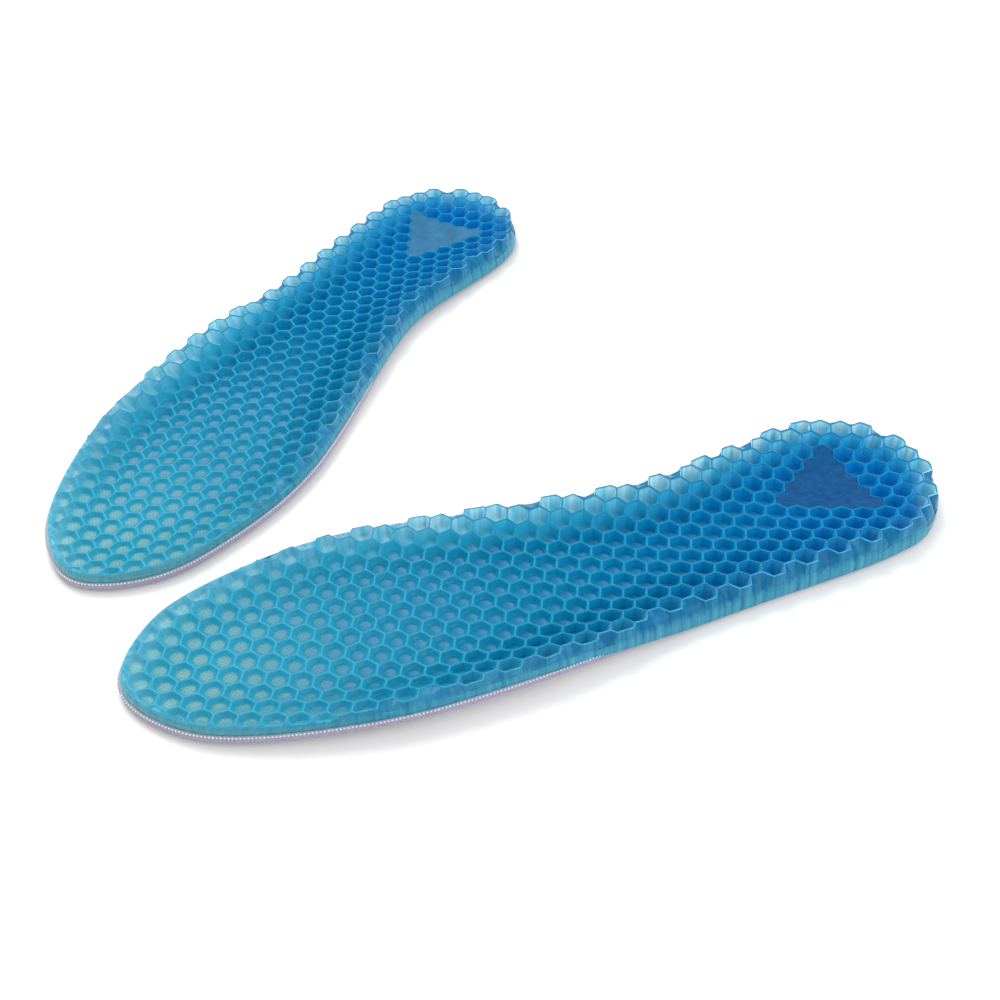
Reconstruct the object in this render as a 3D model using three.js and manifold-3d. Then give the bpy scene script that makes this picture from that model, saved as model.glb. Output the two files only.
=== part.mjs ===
// A pair of cushioned insoles: a honeycomb gel moulding on a fabric backing, with a plain
// triangular pad let into each heel. Millimetres, +Z up, both insoles lying on the floor.
import * as THREE from "three";
import { mergeVertices } from "three/addons/utils/BufferGeometryUtils.js";
import Module from "manifold-3d";

// Outline of the left insole, seen from above. x runs from the heel's end to the toe, and y is
// positive on the outer side of the foot and negative on the inner side.
const LENGTH = 272;
const HEEL_WIDTH = 64;
const WAIST_OUTER = 35;
const WAIST_INNER = 24.5;
const BALL_OUTER = 40;
const BALL_INNER = 41;
const TOE_OUTER = 18.5;
const TOE_INNER = 27;
const TOE_TIP_INNER = 5;
const WAIST_X = 96;
const BALL_TO_TOE = 76;
const OUTER_BALL_TO_TOE = 106;
const TOE_SHOULDER_TO_TOE = 14;
const FULLNESS_OUTER = 4;
const FULLNESS_INNER = 2;

// Thicknesses.
const FABRIC = 2;
const GEL_AT_HEEL = 5.2;
const GEL_AT_TOE = 2.6;
const GEL_EDGE = 2;
const HEEL_RIM_RISE = 3.2;
const TOE_RIM_RISE = 0.8;
const HEEL_RIM_INSET = 2.6;
const TOE_RIM_INSET = 1.8;
const DISH_WIDTH = 27;
const HEEL_CUP = HEEL_WIDTH * 0.7;

// How far the edge stands off the floor where the insole has taken the curve of a foot.
const HEEL_CURL = 0.4;
const OUTER_CURL = 5;
const INNER_CURL = 2;
const TOE_CURL = 1.5;
const CURL_WIDTH = 18;

// The heel pad, a triangle pointing at the toe.
const PAD_SIDE = 38;
const PAD_FROM_HEEL = 27;
const PAD_TURN = 2;
const PAD_FLOOR = 1.6;
const CLEARANCE = 0.3;

// How the two insoles lie beside each other: the middle of each one's length, and the way its
// toe points, in degrees from +X.
const SPREAD_X = LENGTH * 0.17;
const SPREAD_Y = LENGTH * 0.2188;
const LEFT_PLACE = { x: SPREAD_X, y: -SPREAD_Y, turn: 202.5 };
const RIGHT_PLACE = { x: -SPREAD_X, y: SPREAD_Y, turn: 242 };

// Mesh fineness.
const OUTLINE_STEPS = 72;
const DISTANCE_STEPS = 320;
const RIM_RINGS = [0.5, 1];
const DISH_RINGS = [0.8, 0.6, 0.4, 0.2];
const WELD = 1e-4;

const wasm = await Module();
wasm.setup();

function ease(t) {
  const s = Math.min(1, Math.max(0, t));
  return s * s * (3 - 2 * s);
}

function outlineCurve() {
  const radius = HEEL_WIDTH / 2;
  const points = [];
  for (const degrees of [-90, -60, -30, 0, 30, 60, 90]) {
    const angle = THREE.MathUtils.degToRad(degrees);
    points.push([radius * (1 - Math.cos(angle)), radius * Math.sin(angle)]);
  }
  const shoulder = LENGTH - TOE_SHOULDER_TO_TOE;
  const ball = LENGTH - BALL_TO_TOE;
  const outerBall = LENGTH - OUTER_BALL_TO_TOE;
  points.push([WAIST_X, WAIST_OUTER]);
  points.push([outerBall, BALL_OUTER]);
  points.push([(outerBall + shoulder) / 2, (BALL_OUTER * 2 + TOE_OUTER) / 3 + FULLNESS_OUTER]);
  points.push([shoulder, TOE_OUTER]);
  points.push([LENGTH, -TOE_TIP_INNER]);
  points.push([shoulder, -TOE_INNER]);
  points.push([(ball + shoulder) / 2, -(BALL_INNER * 2 + TOE_INNER) / 3 - FULLNESS_INNER]);
  points.push([ball, -BALL_INNER]);
  points.push([(ball + WAIST_X) / 2, -(BALL_INNER + WAIST_INNER) / 2]);
  points.push([WAIST_X, -WAIST_INNER]);
  const vectors = points.reverse().map(([x, y]) => new THREE.Vector3(x, y, 0));
  return new THREE.CatmullRomCurve3(vectors, true, "centripetal");
}

const curve = outlineCurve();
const edge = curve.getSpacedPoints(DISTANCE_STEPS).slice(0, -1);

function distanceToEdge(x, y) {
  let best = Infinity;
  for (let i = 0; i < edge.length; i += 1) {
    const a = edge[i];
    const b = edge[(i + 1) % edge.length];
    const along = ((x - a.x) * (b.x - a.x) + (y - a.y) * (b.y - a.y)) / a.distanceToSquared(b);
    const t = Math.min(1, Math.max(0, along));
    best = Math.min(best, Math.hypot(a.x + (b.x - a.x) * t - x, a.y + (b.y - a.y) * t - y));
  }
  return best;
}

// 0 over the heel, rising to 1 at the toe.
function towardsToe(x) {
  return ease((x - HEEL_CUP) / (LENGTH - HEEL_WIDTH));
}

function rimInset(x) {
  return THREE.MathUtils.lerp(HEEL_RIM_INSET, TOE_RIM_INSET, towardsToe(x));
}

// The curl of the edges: the underside's height over the floor, none along the middle.
function curl(x, y, fromEdge) {
  const outer = ease(0.5 + y / HEEL_WIDTH);
  const side = THREE.MathUtils.lerp(INNER_CURL, OUTER_CURL, outer);
  const start = THREE.MathUtils.lerp(HEEL_WIDTH / 2, WAIST_X, outer);
  const waist = THREE.MathUtils.lerp(HEEL_CURL, side, ease((x - start) / HEEL_WIDTH));
  const toe = ease((x - LENGTH + BALL_TO_TOE) / BALL_TO_TOE);
  return THREE.MathUtils.lerp(waist, TOE_CURL, toe) * ease(1 - fromEdge / CURL_WIDTH);
}

// Height of the gel from its flat underside to the mouths of its cells.
function gelHeight(x, y, fromEdge) {
  const toe = towardsToe(x);
  const middle = THREE.MathUtils.lerp(GEL_AT_HEEL, GEL_AT_TOE, toe);
  const crest = middle + THREE.MathUtils.lerp(HEEL_RIM_RISE, TOE_RIM_RISE, toe);
  const inset = rimInset(x);
  if (fromEdge < inset) {
    return GEL_EDGE + (crest - GEL_EDGE) * Math.sin((Math.PI / 2) * (fromEdge / inset));
  }
  return crest + (middle - crest) * ease((fromEdge - inset) / (DISH_WIDTH - inset));
}

// Rings of [x, y], from the outline inwards.
function outlineRings() {
  const outline = curve.getSpacedPoints(OUTLINE_STEPS).slice(0, -1);
  const count = outline.length;
  const rings = [outline.map((p) => [p.x, p.y])];
  const inward = outline.map((p, i) => {
    const before = outline[(i + count - 1) % count];
    const after = outline[(i + 1) % count];
    const side = new THREE.Vector2(before.y - after.y, after.x - before.x);
    return side.normalize();
  });
  for (const share of RIM_RINGS) {
    const ring = outline.map((p, i) => {
      const step = rimInset(p.x) * share;
      return [p.x + inward[i].x * step, p.y + inward[i].y * step];
    });
    rings.push(ring);
  }
  const crest = rings[rings.length - 1];
  const spineStart = HEEL_WIDTH / 2;
  const spineEnd = LENGTH - BALL_TO_TOE / 2;
  for (const share of DISH_RINGS) {
    const ring = crest.map(([x, y]) => {
      const spineX = Math.min(spineEnd, Math.max(spineStart, x));
      return [spineX + (x - spineX) * share, y * share];
    });
    rings.push(ring);
  }
  return rings;
}

const rings = outlineRings();

// A closed body over the outline, between two heights given as functions of (x, y, fromEdge).
function layer(bottom, top) {
  const positions = [];
  const indices = [];
  const count = rings[0].length;
  const inner = rings[rings.length - 1].map(([x, y]) => new THREE.Vector2(x, y));
  const middle = THREE.ShapeUtils.triangulateShape(inner, []);
  [bottom, top].forEach((height, upper) => {
    const base = positions.length / 3;
    for (const ring of rings) {
      for (const [x, y] of ring) {
        positions.push(x, y, height(x, y, distanceToEdge(x, y)));
      }
    }
    const add = (a, b, c) => indices.push(...(upper ? [a, b, c] : [a, c, b]));
    for (let r = 0; r < rings.length - 1; r += 1) {
      for (let i = 0; i < count; i += 1) {
        const next = (i + 1) % count;
        const outer = base + r * count;
        const within = outer + count;
        add(outer + i, outer + next, within + next);
        add(outer + i, within + next, within + i);
      }
    }
    const last = base + (rings.length - 1) * count;
    for (const [a, b, c] of middle) {
      add(last + a, last + b, last + c);
    }
  });
  const upperStart = rings.length * count;
  for (let i = 0; i < count; i += 1) {
    const next = (i + 1) % count;
    indices.push(i, next, upperStart + next);
    indices.push(i, upperStart + next, upperStart + i);
  }
  const geometry = new THREE.BufferGeometry();
  geometry.setAttribute("position", new THREE.Float32BufferAttribute(positions, 3));
  geometry.setIndex(indices);
  return geometry;
}

function solid(geometry) {
  const bare = geometry.clone();
  bare.deleteAttribute("normal");
  bare.deleteAttribute("uv");
  const merged = mergeVertices(bare, WELD);
  const vertProperties = new Float32Array(merged.attributes.position.array);
  const triVerts = new Uint32Array(merged.index.array);
  return new wasm.Manifold(new wasm.Mesh({ numProp: 3, vertProperties, triVerts }));
}

function fromSolid(body) {
  const mesh = body.getMesh();
  const geometry = new THREE.BufferGeometry();
  geometry.setAttribute("position", new THREE.Float32BufferAttribute(mesh.vertProperties, 3));
  geometry.setIndex(new THREE.Uint32BufferAttribute(mesh.triVerts, 1));
  return geometry;
}

// An equilateral prism between two heights, with its sides moved out by a gap.
function padPrism(low, high, gap) {
  const inradius = PAD_SIDE / (2 * Math.sqrt(3));
  const reach = 2 * (inradius + gap);
  const shape = new THREE.Shape();
  for (const degrees of [0, 120, 240]) {
    const angle = THREE.MathUtils.degToRad(degrees + PAD_TURN);
    const x = PAD_FROM_HEEL + inradius + reach * Math.cos(angle);
    const y = reach * Math.sin(angle);
    if (degrees === 0) {
      shape.moveTo(x, y);
    } else {
      shape.lineTo(x, y);
    }
  }
  const prism = new THREE.ExtrudeGeometry(shape, { depth: high - low, bevelEnabled: false });
  prism.translate(0, 0, low);
  return prism;
}

function fabricBacking() {
  return layer(curl, (x, y, fromEdge) => curl(x, y, fromEdge) + FABRIC);
}

const gelUnderside = FABRIC + CLEARANCE;
const pocketFloor = gelUnderside + PAD_FLOOR;

function gelBlank() {
  const underside = (x, y, fromEdge) => curl(x, y, fromEdge) + gelUnderside;
  const mouths = (x, y, fromEdge) => underside(x, y, fromEdge) + gelHeight(x, y, fromEdge);
  return solid(layer(underside, mouths));
}

function honeycombGel() {
  const pocket = solid(padPrism(pocketFloor, LENGTH, CLEARANCE));
  return fromSolid(gelBlank().subtract(pocket));
}

// The pad's top carries on the dished surface of the gel round it.
function heelPad() {
  const prism = solid(padPrism(pocketFloor + CLEARANCE, LENGTH, 0));
  return fromSolid(gelBlank().intersect(prism));
}

function mirrored(geometry) {
  const copy = geometry.clone();
  copy.scale(1, -1, 1);
  const index = copy.index.array;
  for (let i = 0; i < index.length; i += 3) {
    const held = index[i];
    index[i] = index[i + 1];
    index[i + 1] = held;
  }
  return copy;
}

const finishes = {
  fabric_backing: { color: 0xb4b0c2, roughness: 0.9, metalness: 0 },
  honeycomb_gel: { color: 0x1484be, roughness: 0.25, metalness: 0 },
  heel_pad: { color: 0x3c82b8, roughness: 0.45, metalness: 0 },
};

function insole(side, place, turnOver) {
  const group = new THREE.Group();
  const shapes = {
    fabric_backing: fabricBacking(),
    honeycomb_gel: honeycombGel(),
    heel_pad: heelPad(),
  };
  for (const [name, geometry] of Object.entries(shapes)) {
    const placed = turnOver ? mirrored(geometry) : geometry;
    placed.translate(-LENGTH / 2, 0, 0);
    const mesh = new THREE.Mesh(placed, new THREE.MeshStandardMaterial(finishes[name]));
    mesh.name = `${side}_${name}`;
    group.add(mesh);
  }
  group.rotation.z = THREE.MathUtils.degToRad(place.turn);
  group.position.set(place.x, place.y, 0);
  return group;
}

const pair = new THREE.Group();
pair.add(insole("left", LEFT_PLACE, false));
pair.add(insole("right", RIGHT_PLACE, true));

// The origin is the middle of the pair on the floor.
pair.updateMatrixWorld(true);
const middle = new THREE.Box3().setFromObject(pair, true).getCenter(new THREE.Vector3());
pair.position.set(-middle.x, -middle.y, 0);
pair.updateMatrixWorld(true);

export default pair;
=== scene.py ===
"""A pair of cushioned insoles: open honeycomb gel on a woven backing, with a pad in each heel."""
import math

import bpy
import numpy as np
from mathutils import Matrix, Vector


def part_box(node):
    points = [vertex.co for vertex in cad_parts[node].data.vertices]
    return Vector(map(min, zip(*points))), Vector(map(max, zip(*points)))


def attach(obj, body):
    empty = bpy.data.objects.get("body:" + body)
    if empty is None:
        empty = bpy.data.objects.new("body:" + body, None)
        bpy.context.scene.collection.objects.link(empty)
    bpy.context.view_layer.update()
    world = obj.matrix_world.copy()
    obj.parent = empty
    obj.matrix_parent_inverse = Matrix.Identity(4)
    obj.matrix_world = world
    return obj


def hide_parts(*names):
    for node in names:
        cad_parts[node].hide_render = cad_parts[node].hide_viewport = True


bl_info = {
    "name": "Cushioned Insoles",
    "version": (1, 0, 0),
    "blender": (4, 5, 0),
    "location": "View3D > Sidebar > Insoles",
    "description": "Builds a pair of honeycomb gel insoles on their fabric backing",
    "category": "Add Mesh",
}

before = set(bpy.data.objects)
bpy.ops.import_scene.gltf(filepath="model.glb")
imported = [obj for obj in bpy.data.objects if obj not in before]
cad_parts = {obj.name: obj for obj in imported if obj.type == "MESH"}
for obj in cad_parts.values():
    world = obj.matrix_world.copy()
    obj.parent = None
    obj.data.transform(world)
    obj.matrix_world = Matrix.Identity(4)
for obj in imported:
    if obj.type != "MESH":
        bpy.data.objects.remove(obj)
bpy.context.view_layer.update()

MM = 0.001

# Outline of the left insole in millimetres. x runs from the heel's end to the toe, and y is
# positive on the outer side of the foot. The right insole is the same, mirrored.
LENGTH = 272.0
HEEL_WIDTH = 64.0
WAIST_OUTER = 35.0
WAIST_INNER = 24.5
BALL_OUTER = 40.0
BALL_INNER = 41.0
TOE_OUTER = 18.5
TOE_INNER = 27.0
TOE_TIP_INNER = 5.0
WAIST_X = 96.0
BALL_TO_TOE = 76.0
OUTER_BALL_TO_TOE = 106.0
TOE_SHOULDER_TO_TOE = 14.0
FOREFOOT_FULLNESS_OUTER = 4.0
FOREFOOT_FULLNESS_INNER = 2.0

# Heights of the gel over its underside, and how far in from the edge its rim and its dish reach.
# At the heel a skirt hangs down over the backing's edge.
GEL_AT_HEEL = 5.2
GEL_AT_TOE = 2.6
GEL_EDGE = 2.0
HEEL_RIM_RISE = 3.2
TOE_RIM_RISE = 0.8
HEEL_RIM_INSET = 2.6
TOE_RIM_INSET = 1.8
SKIRT = 1.1
DISH_WIDTH = 27.0

# Distance from the heel's end over which the heel keeps its full height.
HEEL_CUP = HEEL_WIDTH * 0.7

# Over the heel and arch the outer cells are whole. LEAST_CELL is how near the edge a whole cell's
# centre may be, and OUTER_WALL how near the top of its outer wall is. The wall's lip stands out
# and down from that top, and its foot is on a slope that falls to the edge and dips between walls.
LEAST_CELL = 2.7
OUTER_WALL = 1.3
LIP_OUTSIDE = 0.3
LIP_DROP = 0.3
WALL_FOOT = 0.6
SLOPE_WIDTH = 3.6
SLOPE_DIP = 0.7

# Distances from the heel's end at which the band that closes the outer cells begins and is full,
# and at which the forefoot begins and is full.
BAND_STARTS = 195.0
BAND_GROWS_OVER = 50.0
FOREFOOT_STARTS = 110.0
FOREFOOT_GROWS_OVER = 60.0

# How far the edges curl up off the floor.
HEEL_CURL = 0.4
OUTER_CURL = 5.0
INNER_CURL = 2.0
TOE_CURL = 1.5
CURL_WIDTH = 18.0

# The backing stays this far inside the gel over the heel, and its cut edge is rounded.
FABRIC_TUCK = 0.9
FABRIC_ROUNDING = 0.4

# Half sizes of a thread loop, how far it stands in from the backing's edge and up from its face,
# and the share of the forefoot at which the row of loops begins.
LOOP_HALF_LENGTH = 0.27
LOOP_HALF_WIDTH = 0.22
LOOP_HALF_HEIGHT = 0.3
LOOP_INSET = 0.1
LOOP_LIFT = 0.12
LOOPS_START = 0.3

# The heel pad with the rounding of its top edge, and the way that it and the rows of cells are
# turned.
PAD_SIDE = 38.0
PAD_FROM_HEEL = 27.0
PATTERN_TURN = 2.0
PAD_CELLS_PER_SIDE = 5
PAD_SHOULDER = 0.35
PAD_BEVEL_IN = 0.12
PAD_BEVEL_DOWN = 0.09

# How each insole is turned as it lies, and "clear", the side of the foot, in y, on which
# painted light stands for the light that comes through the outer cells.
SIDES = {"left": {"turn": 202.5, "mirror": 1, "clear": -1},
         "right": {"turn": 242.0, "mirror": -1, "clear": 1}}

# How finely the shapes are drawn. ROUND_CELL is a rounded ring's radius over its apothem.
OUTLINE_POINTS = 300
STEPS_PER_CORNER = 40
POINTS_PER_CELL = 18
ROUND_CELL = 1.05
FABRIC_GRID = 2.5
FABRIC_GRID_BEYOND = 6
LOOP_RINGS = 4
LOOP_SPOKES = 8
SHARP_DEGREES = 40
POINTS_AT_ONCE = 4000

# A point's cell depth is 0 on a lip and 1 on a cell's floor, and this on the slope and the edge
# round the cells.
OUTSIDE = 2.0

# A ring's point that would be nearer than this to the one above it is the same point.
LEAST_DROP = 0.3


def linear(hex_colour):
    """An sRGB hex colour as linear RGBA."""
    channels = [int(hex_colour[i:i + 2], 16) / 255 for i in (1, 3, 5)]
    return (*[c / 12.92 if c <= 0.04045 else ((c + 0.055) / 1.055) ** 2.4 for c in channels], 1.0)


def colour_property(name, description, hex_colour):
    return bpy.props.FloatVectorProperty(
        name=name, description=description, subtype="COLOR", size=4,
        min=0.0, max=1.0, default=linear(hex_colour))


def length_property(name, description, millimetres):
    return bpy.props.FloatProperty(
        name=name, description=description, unit="LENGTH", precision=5,
        min=0.0, default=millimetres * MM)


class InsoleSizes(bpy.types.PropertyGroup):
    """Sizes of the moulded cells, the pad and the backing."""

    cell_pitch: length_property("Cell pitch", "Distance between neighbouring cell centres", 7.0)
    lip_heel: length_property("Heel lip", "Width of a wall's top over the heel", 0.65)
    lip_toe: length_property("Toe lip", "Width of a wall's top over the toes", 0.5)
    draft_heel: length_property("Heel draft", "How much a heel cell narrows on each side", 0.7)
    draft_toe: length_property("Toe draft", "How much a toe cell narrows on each side", 1.25)
    skin: length_property("Skin", "Gel under the cells", 1.6)
    flange: length_property("Flange", "Rounded edge of the skin at the heel", 0.4)
    toe_band: length_property("Toe band", "Closed gel round the toe", 1.8)
    fabric: length_property("Fabric", "Thickness of the woven backing", 2.0)
    fabric_margin: length_property("Fabric margin", "How far the backing shows at the ball", 0.8)
    bond: length_property("Bond", "Gap between the backing and the gel", 0.05)
    pad_gap: length_property("Pad gap", "Gap round the heel pad", 0.1)
    loop_spacing: length_property("Loop spacing", "Distance between thread loops", 1.1)


class InsoleColours(bpy.types.PropertyGroup):
    """Colours of the gel, the pads and the cloth."""

    lip_heel: colour_property("Lip, heel", "Tops of the walls over the heel", "#1a7bab")
    lip_middle: colour_property("Lip, middle", "Tops of the walls over the arch", "#2486a2")
    lip_toe: colour_property("Lip, toe", "Tops of the walls over the toes", "#4699b2")
    wall_heel: colour_property("Wall, heel", "Sides of the heel's cells", "#0890d2")
    wall_middle: colour_property("Wall, middle", "Sides of the arch's cells", "#0892bc")
    wall_toe: colour_property("Wall, toe", "Sides of the toe's cells", "#209db9")
    floor_heel: colour_property("Floor, heel", "Bottoms of the heel's cells", "#0896d2")
    floor_middle: colour_property("Floor, middle", "Bottoms of the arch's cells", "#0c86b2")
    floor_ball: colour_property("Floor, ball", "Bottoms of the ball's cells", "#1482a3")
    floor_toe: colour_property("Floor, toe", "Bottoms of the toe's cells", "#60a1a7")
    # Painted light: the rim's paler cyan and the near-white clear cells stand for light shining
    # through the outer cells and for the white floor seen through them.
    rim: colour_property("Rim", "The outer cells, which the light comes through", "#48d0ea")
    clear: colour_property("Clear cells", "The outermost cells, nearly clear", "#d8eef0")
    slope: colour_property("Slope, deep", "The slope outside the cells, over a wall", "#045e94")
    slope_light: colour_property("Slope, light", "The slope between the walls", "#157ca6")
    edge: colour_property("Thin edge", "Where the gel thins out over the cloth", "#50a4b8")
    left_pad: colour_property("Left pad", "The left heel's clear pad", "#00477b")
    right_pad: colour_property("Right pad", "The right heel's clouded pad", "#26648b")
    fabric: colour_property("Backing", "The woven backing's face", "#c9c8d2")
    fabric_edge: colour_property("Backing edge", "The backing's cut edge", "#9c97b2")
    thread: colour_property("Thread", "Loops along the backing's edge", "#f2f3f6")
    floor: colour_property("Floor", "The studio floor", "#f4f4f4")


def sizes(name):
    """One of the sizes in millimetres."""
    return getattr(bpy.context.scene.insole_sizes, name) / MM


def colour(name):
    return tuple(getattr(bpy.context.scene.insole_colours, name))


# ---------------------------------------------------------------- shape of the insole

def ease(t):
    """A smooth step from 0 to 1."""
    s = np.clip(t, 0.0, 1.0)
    return s * s * (3 - 2 * s)


def lerp(a, b, t):
    return a + (b - a) * t


def outline_corners():
    """The outline's driving points, counter-clockwise."""
    radius = HEEL_WIDTH / 2
    points = []
    for degrees in (-90, -60, -30, 0, 30, 60, 90):
        angle = math.radians(degrees)
        points.append((radius * (1 - math.cos(angle)), radius * math.sin(angle)))
    shoulder = LENGTH - TOE_SHOULDER_TO_TOE
    ball = LENGTH - BALL_TO_TOE
    outer_ball = LENGTH - OUTER_BALL_TO_TOE
    points.append((WAIST_X, WAIST_OUTER))
    points.append((outer_ball, BALL_OUTER))
    outer_side = (BALL_OUTER * 2 + TOE_OUTER) / 3 + FOREFOOT_FULLNESS_OUTER
    points.append(((outer_ball + shoulder) / 2, outer_side))
    points.append((shoulder, TOE_OUTER))
    points.append((LENGTH, -TOE_TIP_INNER))
    points.append((shoulder, -TOE_INNER))
    inner_side = (BALL_INNER * 2 + TOE_INNER) / 3 + FOREFOOT_FULLNESS_INNER
    points.append(((ball + shoulder) / 2, -inner_side))
    points.append((ball, -BALL_INNER))
    points.append(((ball + WAIST_X) / 2, -(BALL_INNER + WAIST_INNER) / 2))
    points.append((WAIST_X, -WAIST_INNER))
    return np.array(points[::-1])


def smooth_loop(corners, count):
    """A closed centripetal Catmull-Rom curve through the corners, evenly spaced."""
    fine = []
    total = len(corners)
    for i in range(total):
        p0, p1, p2, p3 = (corners[(i + k) % total] for k in (-1, 0, 1, 2))
        d0, d1, d2 = (math.sqrt(np.linalg.norm(b - a)) for a, b in ((p0, p1), (p1, p2), (p2, p3)))
        start = ((p1 - p0) / d0 - (p2 - p0) / (d0 + d1) + (p2 - p1) / d1) * d1
        end = ((p2 - p1) / d1 - (p3 - p1) / (d1 + d2) + (p3 - p2) / d2) * d1
        for t in np.linspace(0, 1, STEPS_PER_CORNER, endpoint=False):
            fine.append(p1 + start * t + (-3 * p1 + 3 * p2 - 2 * start - end) * t * t
                        + (2 * p1 - 2 * p2 + start + end) * t ** 3)
    fine = np.array(fine + fine[:1])
    along = np.concatenate([[0], np.cumsum(np.linalg.norm(np.diff(fine, axis=0), axis=1))])
    places = np.linspace(0, along[-1], count, endpoint=False)
    return np.stack([np.interp(places, along, fine[:, k]) for k in (0, 1)], axis=1)


OUTLINE = smooth_loop(outline_corners(), OUTLINE_POINTS)


def outline_normals():
    """The outward direction at each point of the outline."""
    step = np.roll(OUTLINE, -1, axis=0) - np.roll(OUTLINE, 1, axis=0)
    outward = np.stack([step[:, 1], -step[:, 0]], axis=1)
    return outward / np.linalg.norm(outward, axis=1)[:, None]


OUTWARD = outline_normals()


def beside_outline(points):
    """For each point, how far it is inside the outline, the outward direction there, and how
    far round the outline it lies."""
    step = np.roll(OUTLINE, -1, axis=0) - OUTLINE
    length_squared = (step ** 2).sum(axis=1)
    turn = np.roll(OUTWARD, -1, axis=0) - OUTWARD
    inside = np.empty(len(points))
    along = np.empty(len(points))
    outward = np.empty_like(points)
    spacing = math.sqrt(length_squared.mean())
    for low in range(0, len(points), POINTS_AT_ONCE):
        high = low + POINTS_AT_ONCE
        away = points[low:high, None, :] - OUTLINE
        t = np.clip((away * step).sum(axis=2) / length_squared, 0, 1)
        miss = away - t[..., None] * step
        gap = np.hypot(miss[..., 0], miss[..., 1])
        best = gap.argmin(axis=1)
        rows = np.arange(len(best))
        t = t[rows, best]
        normal = OUTWARD[best] + turn[best] * t[:, None]
        outward[low:high] = normal
        within = (miss[rows, best] * normal).sum(axis=1) < 0
        inside[low:high] = gap[rows, best] * np.where(within, 1, -1)
        along[low:high] = (best + t) * spacing
    return inside, outward, along


def inside_by(points):
    """How far each point is inside the outline."""
    return beside_outline(np.asarray(points, float))[0]


def towards_toe(x):
    """0 in the heel's cup, rising to 1 towards the toe."""
    return ease((x - HEEL_CUP) / (LENGTH - HEEL_WIDTH))


def curl(x, y, from_edge):
    """How far the backing's underside is off the floor."""
    outer = ease(0.5 + y / HEEL_WIDTH)
    side = lerp(INNER_CURL, OUTER_CURL, outer)
    start = lerp(HEEL_WIDTH / 2, WAIST_X, outer)
    waist = lerp(HEEL_CURL, side, ease((x - start) / HEEL_WIDTH))
    toe = ease((x - LENGTH + BALL_TO_TOE) / BALL_TO_TOE)
    return lerp(waist, TOE_CURL, toe) * ease(1 - from_edge / CURL_WIDTH)


def gel_height(x, from_edge):
    """Height of the cells' mouths over the gel's underside."""
    toe = towards_toe(x)
    middle = lerp(GEL_AT_HEEL, GEL_AT_TOE, toe)
    crest = middle + lerp(HEEL_RIM_RISE, TOE_RIM_RISE, toe)
    inset = lerp(HEEL_RIM_INSET, TOE_RIM_INSET, toe)
    rim = GEL_EDGE + (crest - GEL_EDGE) * np.sin(math.pi / 2 * np.clip(from_edge / inset, 0, 1))
    dish = crest + (middle - crest) * ease((from_edge - inset) / (DISH_WIDTH - inset))
    return np.where(from_edge < inset, rim, dish)


def closed_rim(x):
    """0 where the outer cells are whole, rising to 1 where a smooth band closes them."""
    return ease((x - BAND_STARTS) / BAND_GROWS_OVER)


def forefoot(x):
    """0 over the heel and arch, rising to 1 over the forefoot."""
    return ease((x - FOREFOOT_STARTS) / FOREFOOT_GROWS_OVER)


def underside(x, y, from_edge):
    """Height of the gel's underside off the floor."""
    return curl(x, y, from_edge) + sizes("fabric") + sizes("bond")


# ---------------------------------------------------------------- mesh building

class Shell:
    """Points with their cell depth, and faces, of one closed body in millimetres."""

    def __init__(self):
        self.points = []
        self.depths = []
        self.faces = []

    def add(self, x, y, z, depth=0.0):
        self.points.append((float(x), float(y), float(z)))
        self.depths.append(float(depth))
        return len(self.points) - 1

    def face(self, corners):
        kept = [c for i, c in enumerate(corners) if c != corners[i - 1]]
        if len(set(kept)) > 2:
            self.faces.append(tuple(kept))


def clip(shell, faces, kept_side):
    """Cuts faces where kept_side changes sign. Returns the faces kept and the cut's edges."""
    crossings = {}
    kept_side = list(kept_side)

    def crossing(a, b):
        key = (min(a, b), max(a, b))
        if key not in crossings:
            low, high = key
            t = kept_side[low] / (kept_side[low] - kept_side[high])
            p, q = np.array(shell.points[low]), np.array(shell.points[high])
            depth = lerp(shell.depths[low], shell.depths[high], t)
            crossings[key] = shell.add(*(p + (q - p) * t), depth)
        return crossings[key]

    kept, cut = [], []
    for owner, corners in faces:
        inside = [kept_side[c] > 0 for c in corners]
        if all(inside):
            kept.append((owner, corners))
            continue
        if not any(inside):
            continue
        polygon, leaving = [], None
        for i, corner in enumerate(corners):
            after = corners[(i + 1) % len(corners)]
            if kept_side[corner] > 0:
                polygon.append(corner)
            if (kept_side[corner] > 0) != (kept_side[after] > 0):
                point = crossing(corner, after)
                polygon.append(point)
                if kept_side[corner] > 0:
                    leaving = point
        position = polygon.index(leaving)
        cut.append((leaving, polygon[(position + 1) % len(polygon)]))
        kept.append((owner, tuple(polygon)))
    return kept, cut


def close_edge(shell, cut, reach, profile):
    """Carries the cut edge through the profile's rings, and returns the last ring's point for
    each point of the cut. A ring is a share of the reach outwards, a function that gives its
    height from (x, y, from_edge), and its cell depth."""
    loop = sorted({c for pair in cut for c in pair})
    flat = np.array([shell.points[c][:2] for c in loop])
    outward = beside_outline(flat)[1]
    before = {c: c for c in loop}
    for share, height, depth in profile:
        places = flat + outward * (reach(flat[:, 0]) * share)[:, None]
        heights = height(places[:, 0], places[:, 1], inside_by(places))
        ring = {}
        for c, place, z in zip(loop, places, heights):
            if share == 0 and abs(z - shell.points[c][2]) < LEAST_DROP:
                ring[c] = before[c]
            else:
                ring[c] = shell.add(place[0], place[1], z, depth)
        for a, b in cut:
            shell.face((before[b], before[a], ring[a], ring[b]))
        before = ring
    return before


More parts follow.
